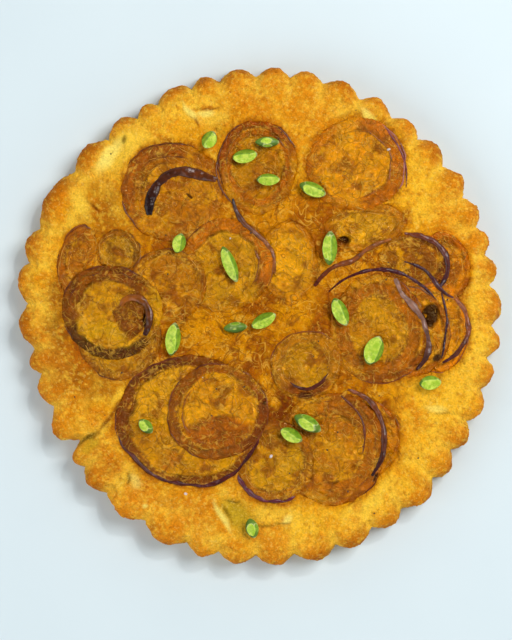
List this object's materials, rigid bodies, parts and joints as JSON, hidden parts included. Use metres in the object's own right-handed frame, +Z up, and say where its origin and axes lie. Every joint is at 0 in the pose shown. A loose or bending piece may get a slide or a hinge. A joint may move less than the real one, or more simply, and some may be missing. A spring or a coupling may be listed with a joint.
{
  "type": "onion tarte tatin",
  "caption": "Round upside-down onion tart with a thick fluted golden crust, caramelised onion rounds set in its top and green pistachio kernels lying on it.",
  "frame": {"origin": "middle of the flat underside, which rests on the table", "axes": "+Z up out of the onion side, +Y towards the top of the view from above, +X to its right"},
  "size_m": [0.2502, 0.257, 0.0277],
  "materials": {
    "baked_crust": "matte",
    "caramelised_onion": "gloss",
    "dark_onion_layer": "gloss",
    "pistachio": "satin"
  },
  "bodies": {
    "root": {"crust": "baked_crust", "onion_south_small": "caramelised_onion", "onion_southwest_inner": "caramelised_onion", "onion_southwest": "caramelised_onion", "onion_west": "caramelised_onion", "onion_east": "caramelised_onion", "onion_west_lower": "caramelised_onion", "onion_west_inner": "caramelised_onion", "onion_south": "caramelised_onion", "onion_southeast": "caramelised_onion", "onion_east_inner": "caramelised_onion", "onion_far_east": "caramelised_onion", "onion_north": "caramelised_onion", "onion_centre": "caramelised_onion", "onion_northeast_dark": "caramelised_onion", "onion_northwest": "caramelised_onion", "onion_west_pale": "caramelised_onion", "onion_west_outer": "caramelised_onion", "onion_southeast_lower": "caramelised_onion", "onion_northeast": "caramelised_onion", "onion_northeast_lower": "caramelised_onion", "onion_far_east_upper": "caramelised_onion", "onion_centre_yellow": "caramelised_onion", "layer_dark_curl": "dark_onion_layer", "layer_west_comma": "dark_onion_layer", "layer_centre_skin": "dark_onion_layer", "layer_east_skin": "dark_onion_layer", "layer_northeast_arc": "dark_onion_layer", "layer_east_pink": "dark_onion_layer", "layer_far_east_skin": "dark_onion_layer", "layer_southeast_skin": "dark_onion_layer", "pistachio_01": "pistachio", "pistachio_02": "pistachio", "pistachio_03": "pistachio", "pistachio_04": "pistachio", "pistachio_05": "pistachio", "pistachio_06": "pistachio", "pistachio_07": "pistachio", "pistachio_08": "pistachio", "pistachio_09": "pistachio", "pistachio_10": "pistachio", "pistachio_11": "pistachio", "pistachio_12": "pistachio", "pistachio_13": "pistachio", "pistachio_14": "pistachio", "pistachio_15": "pistachio", "pistachio_16": "pistachio", "pistachio_17": "pistachio", "pistachio_18": "pistachio"}
  },
  "joints": []
}
